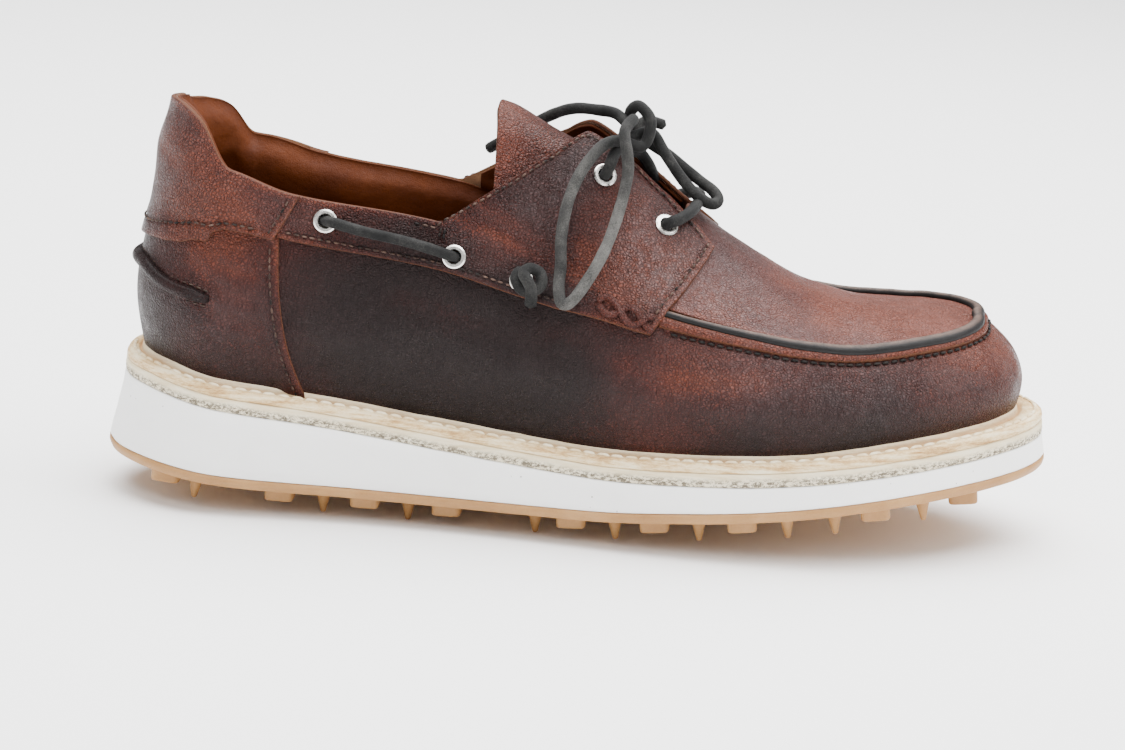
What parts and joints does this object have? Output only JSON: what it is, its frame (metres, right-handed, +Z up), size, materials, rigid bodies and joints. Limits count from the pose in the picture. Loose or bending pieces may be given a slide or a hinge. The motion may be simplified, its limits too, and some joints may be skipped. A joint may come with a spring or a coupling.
{
  "type": "golf shoe",
  "caption": "Right-foot moccasin golf shoe: laced leather upper with padded collar and tongue on a welted foam wedge with a studded rubber sole.",
  "frame": {"origin": "on the ground, under the middle of the sole's length and width", "axes": "+X towards the toe, +Y towards the medial (inner) side of the foot, +Z up"},
  "size_m": [0.3097, 0.1093, 0.1393],
  "materials": {
    "gum_rubber": "matte gum rubber",
    "white_foam": "fine-grained white foam",
    "midsole_leather": "raw buffed edge",
    "welt_leather": "natural veg-tan, oiled",
    "cork": "pressed cork",
    "shank_steel": "plain steel strip",
    "board_leather": "firm insole board",
    "footbed_leather": "smooth caramel leather",
    "dark_leather": "pebbled, burnished dark brown",
    "red_leather": "pebbled, burnished red-brown",
    "bead_leather": "rolled dark brown",
    "braid_leather": "woven thongs",
    "lining_leather": "soft tan lining",
    "stiffener_board": "fibre board",
    "collar_foam": "soft collar foam",
    "black_piping": "waxed black edge",
    "nickel": "nickel plated",
    "lace": "waxed charcoal round lace"
  },
  "bodies": {
    "shoe": {"outsole": "gum_rubber", "traction_lugs": "gum_rubber", "traction_studs": "gum_rubber", "foam_midsole": "white_foam", "leather_midsole": "midsole_leather", "welt": "welt_leather", "cork_filler": "cork", "shank": "shank_steel", "insole_board": "board_leather", "footbed": "footbed_leather", "vamp": "dark_leather", "moc_plug": "red_leather", "plug_lining": "lining_leather", "toe_ridge_piping": "black_piping", "heel_counter_panel": "dark_leather", "heel_bead": "bead_leather", "heel_collar_patch": "red_leather", "lateral_quarter": "red_leather", "medial_quarter": "red_leather", "lateral_facing_lining": "lining_leather", "medial_facing_lining": "lining_leather", "quarter_lining": "lining_leather", "vamp_lining": "lining_leather", "heel_stiffener": "stiffener_board", "toe_puff": "stiffener_board", "collar_padding": "collar_foam", "lateral_eyelets": "nickel", "medial_eyelets": "nickel", "lateral_braid": "braid_leather", "medial_braid": "braid_leather", "throat_lacing": "lace", "lateral_lace_end": "lace", "medial_lace_end": "lace", "side_lace": "lace", "side_lace_knots": "lace"},
    "tongue": {"tongue": "red_leather", "tongue_lining": "lining_leather"}
  },
  "joints": [
    {"name": "tongue_press", "type": "hinge", "parent": "shoe", "child": "tongue", "pos_m": [0.04, 0, 0.09], "axis": [0, 1, 0], "range_deg": [-14, 0]}
  ]
}
